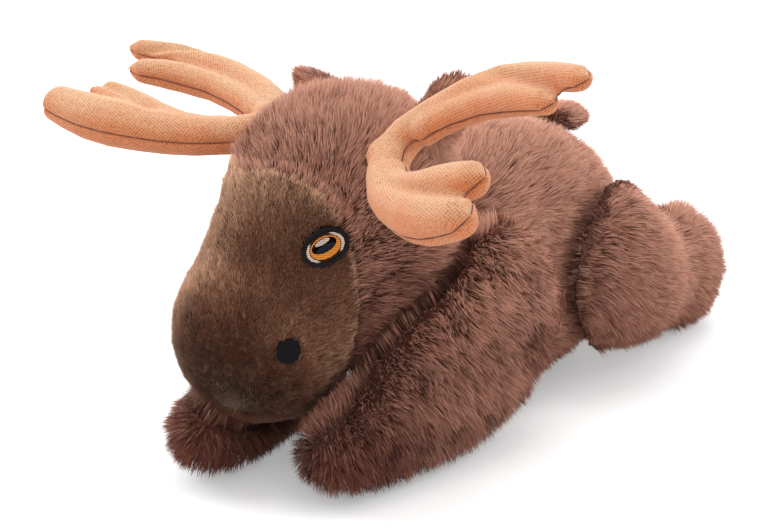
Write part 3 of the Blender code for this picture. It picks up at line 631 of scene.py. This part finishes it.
def canvas_cloth():
    """Makes the woven canvas: two yarn colours with painted light on the upward gold, a fine check of crossings
    with painted shade in the gaps, and a dark sewn edge with painted shade.
    """
    material, tree, shader = start_material("peach_canvas", 0.80, 0.20)
    shader.inputs["Sheen Weight"].default_value = 0.25
    shader.inputs["Sheen Tint"].default_value = (*CANVAS_SHEEN, 1.0)
    place = tree.nodes.new("ShaderNodeUVMap")
    place.uv_map = "cloth"
    apart = tree.nodes.new("ShaderNodeSeparateXYZ")
    tree.links.new(place.outputs["UV"], apart.inputs["Vector"])
    turns = 2 * math.pi / WEAVE_PITCH
    warp, weft = (reckon(tree, "SINE", reckon(tree, "MULTIPLY", apart.outputs[way], turns))
                  for way in "XY")
    crossings = reckon(tree, "MULTIPLY", reckon(tree, "MULTIPLY", warp, weft), WEAVE_CONTRAST)
    check = reckon(tree, "ADD", crossings, speckle(tree, YARN_FINENESS, 1.0))
    cloudy = reckon(tree, "SUBTRACT", speckle(tree, CLOUD_FINENESS, 3.0), 0.5)
    tint = tree.nodes.new("ShaderNodeMix")
    tint.data_type = "RGBA"
    tint.inputs["A"].default_value = (*CANVAS_ORANGE, 1.0)
    tint.inputs["B"].default_value = (*CANVAS_GOLD, 1.0)
    tree.links.new(reckon(tree, "ADD", marked(tree, "layer"), cloudy), tint.inputs["Factor"])
    # Painted shade in the gaps between the yarn crossings.
    depth = colours_along(tree, check, YARN_GAP_SHADE, YARN_TOP, 0.10, 0.62)
    edged = tree.nodes.new("ShaderNodeMix")
    edged.data_type = "RGBA"
    edged.inputs["B"].default_value = (*SEAM_THREAD_AND_SHADE, 1.0)
    tree.links.new(marked(tree, "seam"), edged.inputs["Factor"])
    tree.links.new(multiplied(tree, tint.outputs["Result"], depth.outputs["Color"]), edged.inputs["A"])
    tree.links.new(edged.outputs["Result"], shader.inputs["Base Color"])
    raise_relief(tree, shader, check, 0.5, WEAVE_RELIEF)
    return material


def sewing_thread(name, colour):
    """Makes a thin twisted thread."""
    material, tree, shader = start_material(name, 0.7, 0.5)
    twist = speckle(tree, THREAD_FINENESS)
    tree.links.new(shades_of(tree, twist, colour, 0.5, 1.6), shader.inputs["Base Color"])
    return material


def press_creases(mesh, through, creases):
    """Presses the stitched creases between the fingers into both layers of an antler."""
    spots, normals = numbers(mesh.vertices, "co", 3), numbers(mesh.vertices, "normal", 3)
    flat_spots = spots - (spots @ through)[:, None] * through
    sink = np.zeros(len(spots))
    for line in creases:
        line = np.array(line)
        line = line - (line @ through)[:, None] * through
        nearest, along = np.full(len(spots), 1.0), np.zeros(len(spots))
        for number in range(2):
            start, step = line[number], line[number + 1] - line[number]
            share = ((flat_spots - start) @ step / (step @ step)).clip(0, 1)
            away = np.linalg.norm(flat_spots - start - share[:, None] * step, axis=1)
            closer = away < nearest
            nearest = np.where(closer, away, nearest)
            along = np.where(closer, (number + share) / 2, along)
        sink = np.maximum(sink, CREASE_DEPTH * (1 - along) ** 0.4 * np.exp(-(nearest / CREASE_WIDTH) ** 2))
    facing = normals @ through
    spots -= np.sign(facing)[:, None] * through * (sink * np.abs(facing).clip(0, 1))[:, None]
    mesh.vertices.foreach_set("co", spots.ravel())
    mesh.update()


def evened_height(mesh, height):
    """Evens out which layer each place is on, so that the edge between them runs smoothly."""
    edges = numbers(mesh.edges, "vertices", 2, np.int32)
    for _ in range(SEAM_ROUNDS):
        total, times = np.zeros(len(height)), np.zeros(len(height))
        for first, second in ((0, 1), (1, 0)):
            np.add.at(total, edges[:, first], height[edges[:, second]])
            np.add.at(times, edges[:, first], 1)
        height = (height + total / times) / 2
    return height


def edge_lines(mesh, height):
    """Follows the edge between the two layers of cloth as closed runs of points and normals."""
    spots, normals = numbers(mesh.vertices, "co", 3), numbers(mesh.vertices, "normal", 3)
    joined = {}
    for face in mesh.polygons:
        ring = face.vertices
        cut = [(min(start, end), max(start, end)) for start, end in zip(ring, [*ring[1:], ring[0]])
               if (height[start] > 0) != (height[end] > 0)]
        if len(cut) == 2:
            joined.setdefault(cut[0], []).append(cut[1])
            joined.setdefault(cut[1], []).append(cut[0])
    lines, seen = [], set()
    for start in joined:
        if start in seen:
            continue
        run = [start]
        seen.add(start)
        while onward := [edge for edge in joined[run[-1]] if edge not in seen]:
            seen.add(onward[0])
            run.append(onward[0])
        if len(run) > SHORTEST_SEAM:
            first, second = np.array(run).T
            share = (height[first] / (height[first] - height[second]))[:, None]
            lines.append((spots[first] * (1 - share) + spots[second] * share,
                          unit(normals[first] * (1 - share) + normals[second] * share)))
    return lines


def evened(points, window):
    """Smooths a closed run of points."""
    looped = np.concatenate([points[-window:], points, points[:window]])
    kernel = np.ones(2 * window + 1) / (2 * window + 1)
    return np.stack([np.convolve(looped[:, axis], kernel, "valid") for axis in range(3)], axis=1)


def seam_stitches(name, lines):
    """Lays a thin thread of short stitches along each closed run of points."""
    corners, faces, sides = [], [], 6
    for points, normals in lines:
        around = unit(np.roll(points, -1, axis=0) - np.roll(points, 1, axis=0))
        sideways = unit(np.cross(around, normals))
        walked = np.concatenate([[0], np.cumsum(np.linalg.norm(np.diff(points, axis=0), axis=1))])
        thick = SEAM_THREAD * (0.75 + 0.45 * np.abs(np.sin(walked * math.pi / SEAM_STITCH)))[:, None]
        start, count = len(corners), len(points)
        for step in range(sides):
            angle = 2 * math.pi * step / sides
            corners.extend(points + thick * (normals * math.sin(angle) + sideways * math.cos(angle)))
        for step in range(sides):
            low, high = start + step * count, start + (step + 1) % sides * count
            for index in range(count):
                after = (index + 1) % count
                faces.append((low + index, low + after, high + after, high + index))
    mesh = bpy.data.meshes.new(name)
    mesh.from_pydata([tuple(corner) for corner in corners], [], faces)
    mesh.shade_smooth()
    outwards = bmesh.new()
    outwards.from_mesh(mesh)
    bmesh.ops.recalc_face_normals(outwards, faces=outwards.faces)
    outwards.to_mesh(mesh)
    outwards.free()
    thread = bpy.data.objects.new(name, mesh)
    bpy.context.scene.collection.objects.link(thread)
    return thread


def lay_cloth(antler, height, through):
    """Unwraps the two layers flat, at true size, so that the weave runs straight across each."""
    bpy.context.view_layer.objects.active = antler
    antler.select_set(True)
    mesh = antler.data
    side_of = np.array([sum(height[index] for index in face.vertices) > 0 for face in mesh.polygons])
    owners = {}
    for face in mesh.polygons:
        for key in face.edge_keys:
            owners.setdefault(key, []).append(face.index)
    for edge in mesh.edges:
        pair = owners[edge.key]
        edge.use_seam = len(pair) == 2 and bool(side_of[pair[0]] != side_of[pair[1]])
    mesh.uv_layers.new(name="cloth")
    bpy.ops.object.mode_set(mode="EDIT")
    bpy.ops.mesh.select_all(action="SELECT")
    bpy.ops.uv.unwrap(method="MINIMUM_STRETCH", iterations=8, margin=0.002)
    bpy.ops.object.mode_set(mode="OBJECT")
    antler.select_set(False)
    mesh = antler.data
    corner_of = numbers(mesh.loops, "vertex_index", 1, np.int32)
    flat = numbers(mesh.uv_layers["cloth"].data, "uv", 2)
    spots = numbers(mesh.vertices, "co", 3)
    loop_side = np.repeat(side_of, [len(face.vertices) for face in mesh.polygons])
    outwards = unit(np.cross(np.array([0.0, 1.0, 0.0]), through))
    sideways = np.cross(through, outwards)
    for half in (True, False):
        mine = loop_side == half
        real = np.stack([spots[corner_of[mine]] @ outwards, spots[corner_of[mine]] @ sideways], axis=1)
        real, drawn = real - real.mean(0), flat[mine] - flat[mine].mean(0)
        first_turn, _, second_turn = np.linalg.svd(drawn.T @ real)
        grow = np.sqrt((real ** 2).sum() / (drawn ** 2).sum())
        flat[mine] = drawn @ (first_turn @ second_turn) * grow * WEAVE_SCALE
    mesh.uv_layers["cloth"].data.foreach_set("uv", flat.astype(np.float32).ravel())


peach_canvas = canvas_cloth()
dark_thread = sewing_thread("seam_thread", SEAM_THREAD_AND_SHADE)
for side_name in ("left", "right"):
    cover, filling = f"{side_name}_antler_cover", f"{side_name}_antler_filling"
    antler = stuffed_skin(f"{side_name}_antler_skin", [cover], filling,
                          CANVAS_VOXEL, CANVAS_INSET, CANVAS_SMOOTH)
    through = np.array(THROUGH[side_name])
    normals = numbers(antler.data.vertices, "normal", 3)
    press_creases(antler.data, through, CREASES[side_name])
    height = evened_height(antler.data, normals @ through)
    lines = [(evened(points, SEAM_WINDOW), unit(evened(normal, SEAM_WINDOW)))
             for points, normal in edge_lines(antler.data, height)]
    lay_cloth(antler, height, through)
    # More gold where the cloth faces up: partly the upper layer's own yarn, partly painted light on top.
    layer = antler.data.attributes.new("layer", "FLOAT", "POINT")
    gold = (LAYER_GOLD + GOLD_ON_TOP_LAYER_AND_LIGHT * normals[:, 2]).clip(0, 1)
    layer.data.foreach_set("value", gold.astype(np.float32))
    rounder = antler.modifiers.new("rounder", "SUBSURF")
    rounder.levels = rounder.render_levels = 1
    fine = bpy.data.meshes.new_from_object(antler.evaluated_get(bpy.context.evaluated_depsgraph_get()))
    antler.modifiers.clear()
    antler.data = fine
    fine.materials.clear()
    fine.materials.append(peach_canvas)
    spots, normals = numbers(fine.vertices, "co", 3), numbers(fine.vertices, "normal", 3)
    seam_points = np.concatenate([points for points, _ in lines])
    tree = KDTree(len(seam_points))
    for index, point in enumerate(seam_points):
        tree.insert(point, index)
    tree.balance()
    away = np.array([tree.find(spot)[2] for spot in spots])
    spots -= normals * (SEAM_DEPTH * np.exp(-(away / SEAM_WIDTH) ** 2))[:, None]
    fine.vertices.foreach_set("co", spots.ravel())
    fine.update()
    # Painted shade on the cloth along the sunk seam.
    seam = fine.attributes.new("seam", "FLOAT", "POINT")
    shaded = SEAM_SHADE_SHARE * np.exp(-(away / SEAM_SHADE_WIDTH) ** 2)
    seam.data.foreach_set("value", shaded.astype(np.float32))
    sunk_lines = [(points - normal * SEAM_THREAD_SUNK, normal) for points, normal in lines]
    thread = seam_stitches(f"{side_name}_antler_seam", sunk_lines)
    thread.data.materials.append(dark_thread)
    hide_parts(cover, filling)
    for made in (antler, thread):
        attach(made, f"{side_name}_antler")

# Eyes and nostrils: satin stitch in one direction, sewn straight through the face, each eye in
# five colours of thread and each nostril in black. The threads lie side by side and shine a little.
STITCH_BANDS = 480.0
STITCH_RELIEF = 0.0002
EYE_CORNER_SHADE = (0.040, 0.020, 0.016)
EYE_CORNER_START, EYE_CORNER_END = 0.50, 0.66
THREADS = {"eye_outline": (0.010, 0.007, 0.007), "eye_white": (0.72, 0.56, 0.46),
           "eye_iris": (0.80, 0.27, 0.035), "eye_pupil": (0.010, 0.012, 0.022),
           "eye_glint": (0.66, 0.50, 0.42), "nostril": (0.004, 0.004, 0.006)}


def eye_corners(sewn):
    """Finds an eye's middle, the way to its corners, and how far they are."""
    rim = numbers(sewn.data.vertices, "co", 3)
    long_way = np.linalg.svd(rim - rim.mean(0), full_matrices=False)[2][0]
    return rim.mean(0), long_way, np.abs((rim - rim.mean(0)) @ long_way).max()


def satin_stitch(name, colour, corners=None):
    """Makes close parallel threads with a soft shine and painted shade between them; given an eye's corners, only
    those stay light.
    """
    material, tree, shader = start_material(name, 0.65, 0.12)
    place = tree.nodes.new("ShaderNodeTexCoord")
    lay = tree.nodes.new("ShaderNodeTexWave")
    lay.wave_type = "BANDS"
    lay.bands_direction = "Z"
    lay.inputs["Scale"].default_value = STITCH_BANDS
    lay.inputs["Distortion"].default_value = 0.8
    lay.inputs["Detail"].default_value = 1.0
    tree.links.new(place.outputs["Object"], lay.inputs["Vector"])
    # The gaps between the threads get painted shade.
    shown = shades_of(tree, lay.outputs["Fac"], colour, 0.45, 1.0, end=0.6)
    if corners is not None:
        middle, along, reach = corners
        shift = tree.nodes.new("ShaderNodeVectorMath")
        shift.operation = "SUBTRACT"
        shift.inputs[1].default_value = middle
        walk = tree.nodes.new("ShaderNodeVectorMath")
        walk.operation = "DOT_PRODUCT"
        walk.inputs[1].default_value = along / reach
        tree.links.new(place.outputs["Object"], shift.inputs[0])
        tree.links.new(shift.outputs["Vector"], walk.inputs[0])
        from_middle = reckon(tree, "ABSOLUTE", walk.outputs["Value"])
        ends = colours_along(tree, from_middle, EYE_CORNER_SHADE, (1.0, 1.0, 1.0),
                             EYE_CORNER_START, EYE_CORNER_END)
        shown = multiplied(tree, shown, ends.outputs["Color"])
    tree.links.new(shown, shader.inputs["Base Color"])
    raise_relief(tree, shader, lay.outputs["Fac"], 0.7, STITCH_RELIEF)
    return material


for part, colour in THREADS.items():
    shared = None if part == "eye_white" else satin_stitch(f"{part}_thread", colour)
    for side_name in ("left", "right"):
        sewn = frame["nodes"][f"{side_name}_{part}"]
        thread = shared or satin_stitch(f"{side_name}_{part}_thread", colour, eye_corners(sewn))
        sewn.data.materials.clear()
        sewn.data.materials.append(thread)

# Studio: the photograph's camera, a white paper floor that keeps the soft shadow, a white
# backdrop, and large lamps on all sides. None of it is part of the toy.
VIEW_TURN = math.radians(34)
VIEW_RISE = math.radians(17)
VIEW_DISTANCE = 1.0
PIXELS_PER_METRE = 2930.0
PIVOT_PIXEL = (345.0, 455.0)
FRAME_MIDDLE = (380.0, 265.5)
FRAME_WIDTH = 760.0
FILM_WIDTH = 36.0
NEAREST_SEEN = 0.05
FLOOR_HALF = 4
FLOOR_GREY = (0.80, 0.80, 0.80)
FLOOR_LIFT = 0.34
ROOM_LIGHT = 0.72
LAMP_AIM = Vector((0, 0, 0.06))
LAMPS = {"top": ((0.0, 0.2, 1.5), 1.0, 8.0), "left_window": ((-1.2, -0.3, 0.9), 0.9, 10.0),
         "right_window": ((1.0, 1.2, 0.8), 0.9, 7.0), "front": ((0.9, -1.2, 1.1), 1.0, 4.0),
         "back_window": ((-0.7, 1.3, 0.6), 0.9, 11.0)}

back = Vector((math.sin(VIEW_TURN) * math.cos(VIEW_RISE), -math.cos(VIEW_TURN) * math.cos(VIEW_RISE),
               math.sin(VIEW_RISE)))
right = Vector((math.cos(VIEW_TURN), math.sin(VIEW_TURN), 0))
above = back.cross(right)
aim = Vector((skull_middle[0], skull_middle[1], 0.0))
aim -= right * (PIVOT_PIXEL[0] - FRAME_MIDDLE[0]) / PIXELS_PER_METRE
aim += above * (PIVOT_PIXEL[1] - FRAME_MIDDLE[1]) / PIXELS_PER_METRE
lens = bpy.data.cameras.new("camera")
lens.sensor_width = FILM_WIDTH
lens.lens = FILM_WIDTH * PIXELS_PER_METRE * VIEW_DISTANCE / FRAME_WIDTH
lens.clip_start = NEAREST_SEEN
camera = bpy.data.objects.new("camera", lens)
camera.location = aim + back * VIEW_DISTANCE
camera.rotation_mode = "QUATERNION"
camera.rotation_quaternion = (-back).to_track_quat("-Z", "Y")
bpy.context.scene.collection.objects.link(camera)
bpy.context.scene.camera = camera


def white_rays(tree):
    """Picks the rays that see plain white: the camera's, and those by way of gloss and glass."""
    path = tree.nodes.new("ShaderNodeLightPath")
    chosen = path.outputs["Is Camera Ray"]
    for kind in ("Is Glossy Ray", "Is Transmission Ray"):
        chosen = reckon(tree, "MAXIMUM", chosen, path.outputs[kind])
    return chosen


floor_mesh = bpy.data.meshes.new("floor")
floor_corners = [(-FLOOR_HALF, -FLOOR_HALF, 0), (FLOOR_HALF, -FLOOR_HALF, 0),
                 (FLOOR_HALF, FLOOR_HALF, 0), (-FLOOR_HALF, FLOOR_HALF, 0)]
floor_mesh.from_pydata(floor_corners, [], [(0, 1, 2, 3)])
floor = bpy.data.objects.new("floor", floor_mesh)
bpy.context.scene.collection.objects.link(floor)
floor_look, tree, paper = start_material("floor_look", 0.9, 0.1)
paper.inputs["Base Color"].default_value = (*FLOOR_GREY, 1.0)
glow = tree.nodes.new("ShaderNodeEmission")
both = tree.nodes.new("ShaderNodeAddShader")
tree.links.new(reckon(tree, "MULTIPLY", white_rays(tree), FLOOR_LIFT), glow.inputs["Strength"])
tree.links.new(paper.outputs[0], both.inputs[0])
tree.links.new(glow.outputs[0], both.inputs[1])
tree.links.new(both.outputs[0], tree.nodes["Material Output"].inputs["Surface"])
floor_mesh.materials.append(floor_look)

world = bpy.data.worlds.new("studio")
bpy.context.scene.world = world
world.use_nodes = True
tree = world.node_tree
room = tree.nodes["Background"]
backdrop = tree.nodes.new("ShaderNodeBackground")
for light, strength in ((room, ROOM_LIGHT), (backdrop, 1.0)):
    light.inputs["Color"].default_value = (1.0, 1.0, 1.0, 1.0)
    light.inputs["Strength"].default_value = strength
pick = tree.nodes.new("ShaderNodeMixShader")
tree.links.new(white_rays(tree), pick.inputs[0])
tree.links.new(room.outputs[0], pick.inputs[1])
tree.links.new(backdrop.outputs[0], pick.inputs[2])
tree.links.new(pick.outputs[0], tree.nodes["World Output"].inputs["Surface"])

for lamp_name, (spot, wide, power) in LAMPS.items():
    light = bpy.data.lights.new(lamp_name, "AREA")
    light.size = wide
    light.energy = power
    lamp = bpy.data.objects.new(lamp_name, light)
    lamp.location = spot
    lamp.rotation_mode = "QUATERNION"
    lamp.rotation_quaternion = (LAMP_AIM - Vector(spot)).to_track_quat("-Z", "Y")
    bpy.context.scene.collection.objects.link(lamp)

bpy.context.scene.view_settings.view_transform = "Standard"
